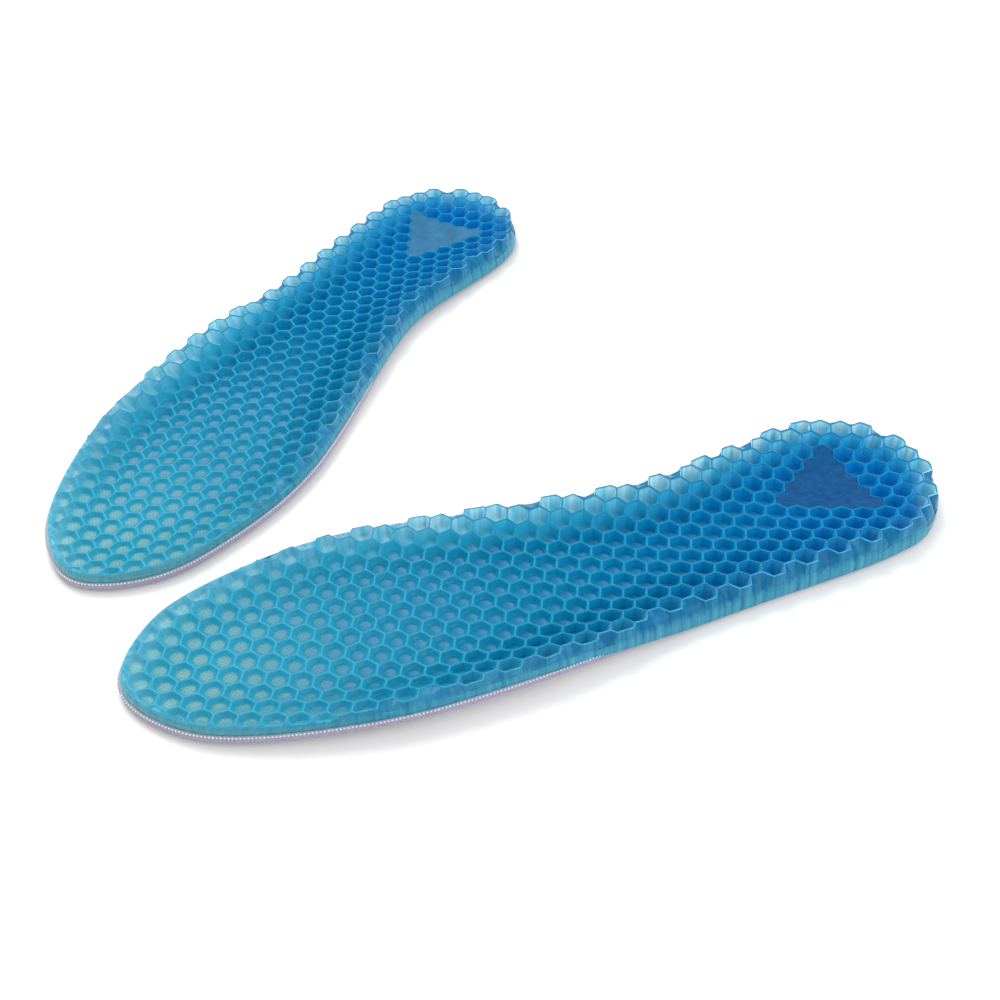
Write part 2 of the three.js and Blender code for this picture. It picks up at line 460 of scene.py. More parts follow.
def close_bottom(shell, kept, bottom_of):
    """Closes the underside with one flat face under each cell."""
    edges = {}
    for owner, corners in kept:
        own = edges.setdefault(owner, set())
        for i, corner in enumerate(corners):
            edge = (corners[i - 1], corner)
            if edge[::-1] in own:
                own.remove(edge[::-1])
            else:
                own.add(edge)
    for own in edges.values():
        follow = dict(own)
        while follow:
            start = next(iter(follow))
            loop, here = [], start
            while here in follow:
                loop.append(here)
                here = follow.pop(here)
            shell.face(tuple(bottom_of(c) for c in reversed(loop)))


def placed(side, points):
    """Moves points from the left insole's own axes to where the insole lies."""
    turn = math.radians(SIDES[side]["turn"])
    mirror = SIDES[side]["mirror"]

    def turned(flat):
        x, y = flat[:, 0], flat[:, 1] * mirror
        return np.stack([x * math.cos(turn) - y * math.sin(turn),
                         x * math.sin(turn) + y * math.cos(turn)], axis=1)

    low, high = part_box(f"{side}_fabric_backing")
    outline = turned(OUTLINE)
    middle = np.array([(low.x + high.x) / 2, (low.y + high.y) / 2])
    shift = middle / MM - (outline.min(axis=0) + outline.max(axis=0)) / 2
    return np.column_stack([turned(points[:, :2]) + shift, points[:, 2]])


def build_piece(name, side, shell, material):
    """Makes the mesh object. Its own coordinates, its cell depth and its place beside the edge
    are kept as attributes for the material."""
    used = sorted({c for face in shell.faces for c in face})
    renumber = {c: i for i, c in enumerate(used)}
    own = np.array(shell.points)[used]
    depths = np.array(shell.depths)[used]
    faces = [tuple(renumber[c] for c in face) for face in shell.faces]
    if SIDES[side]["mirror"] < 0:
        faces = [face[::-1] for face in faces]
    mesh = bpy.data.meshes.new(name)
    mesh.from_pydata((placed(side, own) * MM).tolist(), [], faces)
    from_edge, _, along = beside_outline(own[:, :2])
    for label, kind, values in (
            ("insole_mm", "FLOAT_VECTOR", own), ("cell_depth", "FLOAT", depths),
            ("from_edge", "FLOAT", from_edge), ("along_edge", "FLOAT", along)):
        attribute = mesh.attributes.new(label, kind, "POINT")
        field = "vector" if kind == "FLOAT_VECTOR" else "value"
        attribute.data.foreach_set(field, np.asarray(values, np.float32).ravel())
    mesh.shade_smooth()
    mesh.set_sharp_from_angle(angle=math.radians(SHARP_DEGREES))
    mesh.materials.append(material)
    piece = bpy.data.objects.new(name, mesh)
    bpy.context.scene.collection.objects.link(piece)
    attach(piece, "root")
    return piece


# ---------------------------------------------------------------- honeycomb

def ring_round(centres, apothem, roundness):
    """Points round each cell at its apothem, from a true hexagon to a circle."""
    angles = np.arange(POINTS_PER_CELL) * 2 * math.pi / POINTS_PER_CELL
    from_middle = (angles % (math.pi / 3)) - math.pi / 6
    shape = lerp(1 / np.cos(from_middle), ROUND_CELL, roundness)
    turned = angles + math.radians(PATTERN_TURN)
    hexagon = np.stack([shape * np.cos(turned), shape * np.sin(turned)], axis=1)
    return (centres[:, None, :] + hexagon * apothem[:, None, None]).reshape(-1, 2)


def border_key(x, y):
    """What neighbouring cells agree on for a point of the border between them."""
    return round(x, 2), round(y, 2)


def cell_centres():
    """Centres of every cell near the outline, and which of them the heel pad takes."""
    pitch = sizes("cell_pitch")
    turn = math.radians(PATTERN_TURN)
    pad = np.array([PAD_FROM_HEEL + PAD_SIDE / (2 * math.sqrt(3)), 0.0])
    towards = [turn + math.radians(d) for d in (0, 120, 240)]
    first = pad + pitch / math.sqrt(3) * np.array([math.cos(turn), math.sin(turn)])
    along = pitch * np.array([math.cos(turn - math.pi / 6), math.sin(turn - math.pi / 6)])
    across = pitch * np.array([math.cos(turn + math.pi / 6), math.sin(turn + math.pi / 6)])
    reach = int(LENGTH / pitch) + 4
    centres, in_pad = [], []
    corner = (PAD_CELLS_PER_SIDE - 1) * pitch / math.sqrt(3)
    for i in range(-reach, reach):
        for j in range(-reach, reach):
            centre = first + i * along + j * across
            centres.append(centre)
            offset = centre - pad
            sides = [-(offset[0] * math.cos(a) + offset[1] * math.sin(a)) for a in towards]
            in_pad.append(max(sides) < corner / 2 + pitch / 8)
    centres = np.array(centres)
    near = inside_by(centres) > -pitch
    return centres[near], np.array(in_pad)[near]


def ragged(x, y):
    """Slight unevenness of a soft moulding, in millimetres."""
    return 0.07 * np.sin(x * 0.9 + 1.3 * np.sin(y * 0.37)) + 0.06 * np.sin(y * 1.1 + x * 0.23)


# Each ring of a cell, from its border to its floor: shares of the lip and of the draft that it
# lies in from the border, how round it is, and its depth as a share of the cell's.
CELL_RINGS = [
    (0.0, 0.0, 0.0, 0.0), (0.55, 0.0, 0.05, 0.004), (0.95, 0.0, 0.12, 0.045),
    (1.1, 0.12, 0.2, 0.2), (1.1, 0.4, 0.35, 0.5), (1.1, 0.72, 0.5, 0.8),
    (1.1, 1.0, 0.65, 0.96), (1.1, 1.35, 0.8, 1.0)]


# The gel's rounded edge, from the slope down to the hem: how far out each ring stands, as a share
# of the flange, and how high.
EDGE_RINGS = ((0.3, 0.99), (0.6, 0.95), (0.85, 0.87), (0.97, 0.72), (1.01, 0.5), (1.0, 0.18),
              (0.8, 0.0), (0.5, 0.03))


def cell_ring(centres, lip_share, draft_share, roundness):
    """One ring of points in every cell, as far in as the shares of lip and draft say."""
    toe = towards_toe(centres[:, 0])
    lip = lerp(sizes("lip_heel"), sizes("lip_toe"), toe) / 2
    draft = lerp(sizes("draft_heel"), sizes("draft_toe"), toe)
    apothem = sizes("cell_pitch") / 2 - lip * lip_share - draft * draft_share
    return ring_round(centres, apothem, roundness)


def gel_shell():
    """The gel moulding: a skin with a honeycomb of open cells and a pocket for the pad. Over the
    heel and arch the outer cells are whole and stand on a slope that falls to the edge; round the
    toe they end in a closed band."""
    shell = Shell()
    centres, in_pad = cell_centres()
    skin, band = sizes("skin"), sizes("toe_band")
    count = POINTS_PER_CELL
    whole = (closed_rim(centres[:, 0]) < 0.5) & ~in_pad
    bare = whole & (inside_by(centres) < LEAST_CELL)
    pressed = whole & ~bare

    def flange(x):
        """How wide the rounded edge outside the cells is."""
        return lerp(sizes("flange"), TOE_RIM_INSET / 2, closed_rim(x))

    def pressed_in(flat, which, inset):
        """Moves whole cells' outer points in, so that their wall follows the outline."""
        near = np.flatnonzero(which)
        from_edge, outward, _ = beside_outline(flat[near])
        flat = flat.copy()
        flat[near] -= outward * np.maximum(OUTER_WALL + inset - from_edge, 0)[:, None]
        return flat

    def surface(flat, depth):
        """Height at some depth between the cells' mouths and floors, with the distance from the
        edge and the cell depth there."""
        x, y = flat[:, 0], flat[:, 1]
        from_edge = inside_by(flat)
        crest = lerp(HEEL_RIM_INSET, TOE_RIM_INSET, towards_toe(x))
        mouths = gel_height(x, np.maximum(from_edge, crest * (1 - closed_rim(x))))
        opened = 1 - closed_rim(x) * (1 - ease((from_edge - flange(x)) / band))
        low = lerp(mouths, np.minimum(skin, mouths), opened)
        z = underside(x, y, from_edge) + lerp(mouths, low, depth)
        return z + ragged(x, y) * (1 - depth) * opened, from_edge, depth * opened

    def top_of_flange(x, y, from_edge):
        """The slope from the outline up to the whole cells' outer walls."""
        toe = towards_toe(x)
        crest = lerp(GEL_AT_HEEL + HEEL_RIM_RISE, GEL_AT_TOE + TOE_RIM_RISE, toe)
        rise = np.sin(math.pi / 2 * np.clip(from_edge / SLOPE_WIDTH, 0, 1))
        slope = lerp(GEL_EDGE, crest - LIP_DROP, rise)
        height = lerp(slope, gel_height(x, from_edge), closed_rim(x))
        return underside(x, y, from_edge) + height

    # Border points of the pressed cells, whichever cell they are reached from.
    keys = [border_key(x, y) for x, y in cell_ring(centres, 0, 0, 0)]
    held = {keys[k] for k in np.flatnonzero(np.repeat(pressed, count))}
    side_of = []

    def point(flat, z, from_edge, deep):
        """Adds a point, and notes how far inside the rounded edge it is."""
        side_of.append(from_edge - flange(flat[0]))
        return shell.add(flat[0], flat[1], z, deep)

    # The rings of points in every cell. Neighbours share the points of their border.
    border, index = {}, []
    for r, (lip_share, draft_share, roundness, depth) in enumerate(CELL_RINGS):
        which = np.repeat(pressed, count) if r else np.array([key in held for key in keys])
        inset = sizes("lip_heel") * lip_share / 2 + sizes("draft_heel") * draft_share
        flat = pressed_in(cell_ring(centres, lip_share, draft_share, roundness), which, inset)
        z, from_edge, deep = surface(flat, depth)
        own = []
        for k, key in enumerate(keys):
            if r == 0:
                if key not in border:
                    border[key] = point(flat[k], z[k], from_edge[k], deep[k])
                own.append(border[key])
            elif in_pad[k // count] or bare[k // count]:
                own.append(None)
            else:
                own.append(point(flat[k], z[k], from_edge[k], deep[k]))
        index.append(own)
    z, from_edge, deep = surface(centres, 1.0)
    # The walls and the floor of each open cell.
    faces = []
    open_edges = set()
    open_beside = {}
    for c in np.flatnonzero(~in_pad & ~bare):
        middle = point(centres[c], z[c], from_edge[c], deep[c])
        for k in range(count):
            a, b = c * count + k, c * count + (k + 1) % count
            open_edges.add((index[0][a], index[0][b]))
            open_beside.setdefault(index[0][a], []).append(centres[c])
            for r in range(len(CELL_RINGS) - 1):
                faces.append((c, (index[r][a], index[r][b], index[r + 1][b], index[r + 1][a])))
            faces.append((c, (index[-1][a], index[-1][b], middle)))

    # Points that stand below or beside a border point have the same point of the underside.
    top_of = {}

    # The pocket's floor, and its wall where it meets the open cells.
    pocket, floor_of = [], {}
    border_flat = np.array([shell.points[i][:2] for i in index[0]])
    floor_z, border_edge, _ = surface(border_flat, 1.0)
    for c in np.flatnonzero(in_pad):
        ring = [c * count + k for k in range(count)]
        for k in ring:
            top = index[0][k]
            if top not in floor_of:
                floor_of[top] = point(border_flat[k], floor_z[k], border_edge[k], 1.0)
                top_of[floor_of[top]] = top
        middle = point(centres[c], z[c], from_edge[c], deep[c])
        for k in range(count):
            a, b = index[0][ring[k]], index[0][ring[(k + 1) % count]]
            pocket.append((("pocket", c), (floor_of[a], floor_of[b], middle)))
            if (b, a) in open_edges:
                shell.face((floor_of[b], floor_of[a], a, b))

    # The outer walls' shoulders and feet, and the slope that fills the bare cells.
    bare_beside = {}
    for c in np.flatnonzero(bare):
        for k in range(count):
            bare_beside.setdefault(index[0][c * count + k], []).append(centres[c])
    shoulder_of, base_of = {}, {}
    for top, beyond in bare_beside.items():
        place = np.array(shell.points[top][:2])
        if top in open_beside:
            away = np.mean(beyond, axis=0) - np.mean(open_beside[top], axis=0)
            away /= np.linalg.norm(away)
            spot = place + away * LIP_OUTSIDE
            drop = shell.points[top][2] - LIP_DROP
            shoulder_of[top] = point(spot, drop, inside_by([spot])[0], OUTSIDE)
            top_of[shoulder_of[top]] = top
            place = place + away * WALL_FOOT
        s = inside_by([place])[0]
        base_of[top] = point(place, top_of_flange(place[0], place[1], s), s, OUTSIDE)
        if top in open_beside:
            top_of[base_of[top]] = top
    for c in np.flatnonzero(bare):
        s = from_edge[c]
        middle = point(centres[c], top_of_flange(*centres[c], s) - SLOPE_DIP, s, OUTSIDE)
        for k in range(count):
            a, b = index[0][c * count + k], index[0][c * count + (k + 1) % count]
            faces.append((c, (base_of[a], base_of[b], middle)))
            if (b, a) in open_edges:
                wall = ("wall", c, k)
                faces.append((wall, (base_of[b], base_of[a], shoulder_of[a], shoulder_of[b])))
                faces.append((wall, (shoulder_of[b], shoulder_of[a], a, b)))
    kept, cut = clip(shell, faces, side_of)
    for _, corners in kept + pocket:
        shell.face(corners)

    def part_way(share):
        """Heights at a share of the way from the skirt's hem up to the slope."""
        def height(x, y, from_edge):
            hem = underside(x, y, from_edge) - SKIRT * (1 - forefoot(x))
            return lerp(hem, top_of_flange(x, y, from_edge), share)
        return height

    profile = [(0.0, top_of_flange, OUTSIDE)]
    profile += [(share, part_way(level), OUTSIDE) for share, level in EDGE_RINGS]
    profile += [(0.2, underside, OUTSIDE), (0.0, underside, OUTSIDE)]
    bottoms = close_edge(shell, cut, flange, profile)

    def bottom_of(c):
        if c in bottoms:
            return bottoms[c]
        c = top_of.get(c, c)
        if c not in bottoms:
            x, y, _ = shell.points[c]
            s = inside_by([[x, y]])
            bottoms[c] = shell.add(x, y, underside(x, y, s)[0], 1.0)
        return bottoms[c]

    close_bottom(shell, kept + pocket, bottom_of)
    return shell


def pad_shell():
    """The heel pad: a low plug whose border follows the cells that it takes the place of."""
    shell = Shell()
    centres, in_pad = cell_centres()
    count = POINTS_PER_CELL
    gap = sizes("pad_gap")
    half = np.full(in_pad.sum(), sizes("cell_pitch") / 2)
    rings = [ring_round(centres[in_pad], half * share, 0) for share in (1.0, 0.7, 0.35)]
    shared, index = {}, []
    for flat in rings:
        own = []
        for x, y in flat:
            key = border_key(x, y)
            if key not in shared:
                shared[key] = shell.add(x, y, 0)
            own.append(shared[key])
        index.append(own)
    faces, edges = [], set()
    for c, centre in enumerate(centres[in_pad]):
        middle = shell.add(*centre, 0)
        for k in range(count):
            a, b = c * count + k, c * count + (k + 1) % count
            for r in range(2):
                faces.append((index[r][a], index[r][b], index[r + 1][b], index[r + 1][a]))
            faces.append((index[2][a], index[2][b], middle))
            edge = (index[0][a], index[0][b])
            if edge[::-1] in edges:
                edges.remove(edge[::-1])
            else:
                edges.add(edge)
    after = dict(edges)
    before = {b: a for a, b in edges}
    flat = np.array(shell.points)[:, :2]
    inward = {}
    for here in after:
        step = flat[after[here]] - flat[before[here]]
        inward[here] = np.array([-step[1], step[0]]) / np.linalg.norm(step)

    def top_height(place):
        s = inside_by([place])
        return (underside(place[0], place[1], s) + gel_height(place[0], s))[0]

    def bottom_height(place):
        s = inside_by([place])
        return underside(place[0], place[1], s)[0] + sizes("skin") + gap

    heights = [top_height(place) for place in flat]
    for here, place in enumerate(flat):
        x, y = place + inward.get(here, np.zeros(2)) * (gap + PAD_SHOULDER)
        shell.points[here] = (x, y, heights[here])
    for corners in faces:
        shell.face(corners)
    above = {here: here for here in after}
    for inset, drop in ((gap + PAD_BEVEL_IN, PAD_BEVEL_DOWN), (gap, PAD_SHOULDER), (gap, None)):
        ring = {}
        for here in after:
            place = flat[here] + inward[here] * inset
            z = bottom_height(place) if drop is None else heights[here] - drop
            ring[here] = shell.add(place[0], place[1], z, 0.5)
        for here, there in after.items():
            shell.face((above[there], above[here], ring[here], ring[there]))
        above = ring
    bottoms = dict(above)

    def bottom_of(c):
        if c not in bottoms:
            x, y, _ = shell.points[c]
            bottoms[c] = shell.add(x, y, bottom_height((x, y)), 1.0)
        return bottoms[c]

    for corners in faces:
        shell.face(tuple(bottom_of(c) for c in reversed(corners)))
    return shell


# ---------------------------------------------------------------- backing

# The backing's cut edge, from its face down: how far out each ring stands, as a share of the
# rounding, its height as a share of the thickness, and how much it takes of the darker, more
# lavender edge colour.
FABRIC_EDGE_RINGS = (
    (0.55, 0.97, 0.4), (0.9, 0.85, 1.0), (1.0, 0.62, 1.0), (1.0, 0.38, 1.0), (0.9, 0.15, 1.0),
    (0.55, 0.03, 1.0), (0.0, 0.0, 0.4))


def fabric_margin(x):
    """How far the backing reaches past the gel: most along the forefoot."""
    return lerp(-FABRIC_TUCK, sizes("fabric_margin"), forefoot(x))


def fabric_shell():
    """The woven backing: one sheet over the outline, with a soft cut edge."""
    shell = Shell()
    low = OUTLINE.min(axis=0) - FABRIC_GRID_BEYOND
    high = OUTLINE.max(axis=0) + FABRIC_GRID_BEYOND
    xs = np.arange(low[0], high[0], FABRIC_GRID)
    ys = np.arange(low[1], high[1], FABRIC_GRID)
    flat = np.array([(x, y) for x in xs for y in ys])
    from_edge = inside_by(flat)
    thickness = sizes("fabric")
    z = curl(flat[:, 0], flat[:, 1], from_edge) + thickness
    for (x, y), height in zip(flat, z):
        shell.add(x, y, height, 0.0)
    rows = len(ys)
    faces = []
    for i in range(len(xs) - 1):
        for j in range(rows - 1):
            a = i * rows + j
            faces.append(((i, j), (a, a + rows, a + rows + 1, a + 1)))
    side_of = from_edge + fabric_margin(flat[:, 0]) - FABRIC_ROUNDING
    kept, cut = clip(shell, faces, side_of)
    for _, corners in kept:
        shell.face(corners)

    def level(share):
        return lambda x, y, s: curl(x, y, s) + thickness * share

    def reach(x):
        return np.full_like(x, FABRIC_ROUNDING)

    profile = [(out, level(share), depth) for out, share, depth in FABRIC_EDGE_RINGS]
    bottoms = close_edge(shell, cut, reach, profile)

    def bottom_of(c):
        if c not in bottoms:
            x, y, z = shell.points[c]
            bottoms[c] = shell.add(x, y, z - thickness, 0.0)
        return bottoms[c]

    close_bottom(shell, kept, bottom_of)
    return shell


def loop_shell():
    """Thread loops that stand along the backing's edge, just under the gel."""
    shell = Shell()
    length = np.linalg.norm(np.roll(OUTLINE, -1, axis=0) - OUTLINE, axis=1).sum()
    count = int(length / sizes("loop_spacing"))
    places = smooth_loop(outline_corners(), count)
    step = np.roll(places, -1, axis=0) - np.roll(places, 1, axis=0)
    step /= np.linalg.norm(step, axis=1)[:, None]
    for place, along in zip(places, step):
        if forefoot(place[0]) < LOOPS_START:
            continue
        outward = np.array([along[1], -along[0]])
        centre = place + outward * (fabric_margin(place[0]) - LOOP_INSET)
        z = curl(place[0], place[1], 0.0) + sizes("fabric") + LOOP_LIFT
        base = []
        for r in range(1, LOOP_RINGS):
            lean = math.pi * r / LOOP_RINGS
            ring = []
            for k in range(LOOP_SPOKES):
                spin = 2 * math.pi * k / LOOP_SPOKES
                flat = centre + (along * math.cos(spin) * LOOP_HALF_LENGTH
                                 + outward * math.sin(spin) * LOOP_HALF_WIDTH) * math.sin(lean)
                height = z + LOOP_HALF_HEIGHT * math.cos(lean)
                ring.append(shell.add(flat[0], flat[1], height))
            base.append(ring)
        top = shell.add(centre[0], centre[1], z + LOOP_HALF_HEIGHT)
        bottom = shell.add(centre[0], centre[1], z - LOOP_HALF_HEIGHT)
        for k in range(LOOP_SPOKES):
            n = (k + 1) % LOOP_SPOKES
            shell.face((top, base[0][n], base[0][k]))
            shell.face((bottom, base[-1][k], base[-1][n]))
            for upper, under in zip(base, base[1:]):
                shell.face((upper[k], upper[n], under[n], under[k]))
    return shell


# ---------------------------------------------------------------- materials

def add_node(tree, kind, inputs=None, stops=(), **settings):
    """Adds a node, sets its properties and its colour stops, and sets or links its inputs."""
    node = tree.nodes.new(kind)
    for name, value in settings.items():
        setattr(node, name, value)
    # A colour ramp starts with two stops.
    for _ in stops[2:]:
        node.color_ramp.elements.new(1.0)
    for i, (position, shade) in enumerate(stops):
        node.color_ramp.elements[i].position = position
        node.color_ramp.elements[i].color = shade
    for name, value in (inputs or {}).items():
        socket = node.inputs[name]
        if isinstance(value, bpy.types.NodeSocket):
            tree.links.new(value, socket)
        else:
            socket.default_value = value
    return node


def new_material(name, surface):
    """A material whose shader has the surface's own values."""
    material = bpy.data.materials.new(name)
    material.use_nodes = True
    tree = material.node_tree
    shader = tree.nodes["Principled BSDF"]
    for socket, value in surface.items():
        shader.inputs[socket].default_value = value
    return material, tree, shader


def shaded(base, factor, lift=0.0):
    """A colour made lighter or darker, kept opaque."""
    return (*[min(1.0, c * factor + lift) for c in base[:3]], 1.0)


# Where each look of the gel begins and where it is full, in millimetres: the first four from the
# heel's end, and the rest from the edge. The heel's end, the fading towards the toes, the two rim
# bands after the rim's height and the half width place painted light: light shining through the
# outer cells, painted into the colour. The half width of that lit side is from the middle line.
HEEL_TO_TOE = (20.0, LENGTH)
HEEL_END = (22.0, 8.0)
BACKLIGHT_FADE = (220.0, 140.0)
TALL_RIM = (210.0, 130.0)
BACKLIT_RIM = (17.0, 4.0)
SEE_THROUGH_RIM = (9.0, 3.0)
FRINGE = (1.4, 0.0)
BACKLIT_HALF_WIDTH = 14.0


def moulded_gel(side):
    """Thermoplastic gel, moulded: a clear blue that deepens with the cells, wet-looking lips."""
    material, tree, shader = new_material(f"Moulded gel {side}", {
        "Roughness": 0.22, "IOR": 1.45, "Specular IOR Level": 0.12, "Transmission Weight": 0.1,
        "Subsurface Weight": 0.6, "Subsurface Radius": (0.3, 0.8, 1.0),
        "Subsurface Scale": 1.5 * MM})
    place = add_node(tree, "ShaderNodeAttribute", attribute_name="insole_mm").outputs["Vector"]
    depth = add_node(tree, "ShaderNodeAttribute", attribute_name="cell_depth").outputs["Fac"]
    edge = add_node(tree, "ShaderNodeAttribute", attribute_name="from_edge").outputs["Fac"]
    parts = add_node(tree, "ShaderNodeSeparateXYZ", {"Vector": place})
    toe = add_node(tree, "ShaderNodeMapRange", {
        "Value": parts.outputs["X"], "From Min": HEEL_TO_TOE[0],
        "From Max": HEEL_TO_TOE[1]}).outputs["Result"]
    lip, wall = (
        add_node(tree, "ShaderNodeValToRGB", {"Fac": toe}, stops=[
            (0.0, colour(f"{part}_heel")), (0.5, colour(f"{part}_middle")),
            (1.0, colour(f"{part}_toe"))]).outputs["Color"]
        for part in ("lip", "wall"))
    ground = add_node(tree, "ShaderNodeValToRGB", {"Fac": toe}, stops=[
        (0.0, colour("floor_heel")), (0.45, colour("floor_middle")),
        (0.74, colour("floor_ball")), (0.92, colour("floor_toe"))]).outputs["Color"]
    # The walls take over from the lips just under them, and the floors from the walls' foot.
    to_wall = add_node(tree, "ShaderNodeMapRange", {
        "Value": depth, "From Min": 0.0, "From Max": 0.12},
        interpolation_type="SMOOTHSTEP").outputs["Result"]
    to_floor = add_node(tree, "ShaderNodeMapRange", {
        "Value": depth, "From Min": 0.8, "From Max": 0.97},
        interpolation_type="SMOOTHSTEP").outputs["Result"]
    # Threads 0.55 mm apart show through the thin floors; drawn a third coarser than the real ones.
    weave = add_node(tree, "ShaderNodeTexChecker", {
        "Vector": place, "Color1": (1, 1, 1, 1), "Color2": (0.72, 0.8, 0.82, 1),
        "Scale": 1.35}).outputs["Color"]
    woven = add_node(tree, "ShaderNodeMix", {
        "Factor": toe, "A": ground, "B": weave}, data_type="RGBA", blend_type="MULTIPLY")
    inside = add_node(tree, "ShaderNodeMix", {
        "Factor": to_floor, "A": wall, "B": woven.outputs["Result"]}, data_type="RGBA")
    # Walls behind the clear rim, showing through it, are painted as streaks across it, a few
    # millimetres apart.
    along = add_node(tree, "ShaderNodeAttribute", attribute_name="along_edge").outputs["Fac"]
    across = add_node(tree, "ShaderNodeMath", {0: edge, 1: 0.25}, operation="MULTIPLY")
    sweep = add_node(tree, "ShaderNodeCombineXYZ", {"X": along, "Y": across.outputs["Value"]})
    streaks = add_node(tree, "ShaderNodeTexNoise", {
        "Vector": sweep.outputs["Vector"], "Scale": 0.5, "Detail": 3.0, "Roughness": 0.6})
    streak = add_node(tree, "ShaderNodeMapRange", {
        "Value": streaks.outputs["Fac"], "From Min": 0.38, "From Max": 0.62,
        "To Min": 0.25, "To Max": 1.0}).outputs["Result"]
    # Painted light: light shining through the gel on one side and round the heel's end, less so
    # at the toes, is painted into the base colour.
    y_backlit = SIDES[side]["clear"] * BACKLIT_HALF_WIDTH
    backlit_side = add_node(tree, "ShaderNodeMapRange", {
        "Value": parts.outputs["Y"], "From Min": -y_backlit, "From Max": y_backlit,
        "To Min": 0.15, "To Max": 1.0}).outputs["Result"]
    heel_end = add_node(tree, "ShaderNodeMapRange", {
        "Value": parts.outputs["X"], "From Min": HEEL_END[0],
        "From Max": HEEL_END[1]}).outputs["Result"]
    backlight_fade = add_node(tree, "ShaderNodeMapRange", {
        "Value": parts.outputs["X"], "From Min": BACKLIGHT_FADE[0], "From Max": BACKLIGHT_FADE[1],
        "To Min": 0.2}).outputs["Result"]
    either = add_node(tree, "ShaderNodeMath", {0: backlit_side, 1: heel_end}, operation="MAXIMUM")
    clear = add_node(tree, "ShaderNodeMath", {
        0: either.outputs["Value"], 1: backlight_fade}, operation="MULTIPLY")
    # Painted backlight: near the rim the cells are mixed towards the paler rim cyan.
    near_rim = add_node(tree, "ShaderNodeMapRange", {
        "Value": edge, "From Min": BACKLIT_RIM[0], "From Max": BACKLIT_RIM[1]}).outputs["Result"]
    lit = add_node(tree, "ShaderNodeMath", {
        0: near_rim, 1: clear.outputs["Value"]}, operation="MULTIPLY")
    lighter = add_node(tree, "ShaderNodeMix", {
        "Factor": lit.outputs["Value"], "A": inside.outputs["Result"], "B": colour("rim")},
        data_type="RGBA")
    # Painted see-through: the outermost cells go a streaked near-white, for light and the white
    # floor seen through the gel.
    thin = add_node(tree, "ShaderNodeMapRange", {
        "Value": edge, "From Min": SEE_THROUGH_RIM[0], "From Max": SEE_THROUGH_RIM[1]}).outputs["Result"]
    streaky = add_node(tree, "ShaderNodeMath", {0: thin, 1: streak}, operation="MULTIPLY")
    see_through_paint = add_node(tree, "ShaderNodeMath", {
        0: streaky.outputs["Value"], 1: clear.outputs["Value"]}, operation="MULTIPLY")
    cell = add_node(tree, "ShaderNodeMix", {
        "Factor": see_through_paint.outputs["Value"], "A": lighter.outputs["Result"],
        "B": colour("clear")}, data_type="RGBA")
    # The slope round the cells is streaked too, and its edge is a pale fringe.
    slope = add_node(tree, "ShaderNodeMix", {
        "Factor": streak, "A": colour("slope"), "B": colour("slope_light")}, data_type="RGBA")
    fringe = add_node(tree, "ShaderNodeMapRange", {
        "Value": edge, "From Min": FRINGE[0], "From Max": FRINGE[1]}).outputs["Result"]
    frayed = add_node(tree, "ShaderNodeMath", {0: fringe, 1: streak}, operation="MULTIPLY")
    outside = add_node(tree, "ShaderNodeMix", {
        "Factor": frayed.outputs["Value"], "A": slope.outputs["Result"],
        "B": colour("edge")}, data_type="RGBA")
    is_outside = add_node(tree, "ShaderNodeMapRange", {
        "Value": depth, "From Min": 1.05, "From Max": OUTSIDE}).outputs["Result"]
    tall_rim = add_node(tree, "ShaderNodeMapRange", {
        "Value": parts.outputs["X"], "From Min": TALL_RIM[0], "From Max": TALL_RIM[1],
        "To Min": 0.35}).outputs["Result"]
    sloping = add_node(tree, "ShaderNodeMath", {0: is_outside, 1: tall_rim}, operation="MULTIPLY")
    side_colour = add_node(tree, "ShaderNodeMix", {
        "Factor": sloping.outputs["Value"], "A": cell.outputs["Result"],
        "B": outside.outputs["Result"]}, data_type="RGBA")
    final = add_node(tree, "ShaderNodeMix", {
        "Factor": to_wall, "A": lip, "B": side_colour.outputs["Result"]}, data_type="RGBA")
    tree.links.new(final.outputs["Result"], shader.inputs["Base Color"])
    ripple = add_node(tree, "ShaderNodeTexNoise", {
        "Vector": place, "Scale": 0.9, "Detail": 2.0}).outputs["Fac"]
    bump = add_node(tree, "ShaderNodeBump", {
        "Height": ripple, "Strength": 0.25, "Distance": 0.2 * MM})
    tree.links.new(bump.outputs["Normal"], shader.inputs["Normal"])
    return material


# How fine the clouding of each pad is, per millimetre, and how strong.
CLOUDING = {"left": (0.4, 0.28), "right": (0.22, 0.2)}


def cast_gel(side):
    """Gel poured flat into the pocket: a plain skin with faint clouding, less shine."""
    material, tree, shader = new_material(f"Cast gel {side}", {
        "Roughness": 0.45, "IOR": 1.45, "Specular IOR Level": 0.1})
    place = add_node(tree, "ShaderNodeAttribute", attribute_name="insole_mm").outputs["Vector"]
    fineness, contrast = CLOUDING[side]
    cloud = add_node(tree, "ShaderNodeTexNoise", {
        "Vector": place, "Scale": fineness, "Detail": 5.0, "Roughness": 0.65}).outputs["Fac"]
    base = colour(f"{side}_pad")
    shade = add_node(tree, "ShaderNodeValToRGB", {"Fac": cloud}, stops=[
        (0.3, shaded(base, 1 - contrast)),
        (0.7, shaded(base, 1 + contrast, contrast * 0.02))]).outputs["Color"]
    tree.links.new(shade, shader.inputs["Base Color"])
    grain = add_node(tree, "ShaderNodeTexNoise", {
        "Vector": place, "Scale": 1.6, "Detail": 3.0}).outputs["Fac"]
    bump = add_node(tree, "ShaderNodeBump", {
        "Height": grain, "Strength": 0.3, "Distance": 0.15 * MM})
    tree.links.new(bump.outputs["Normal"], shader.inputs["Normal"])
    return material


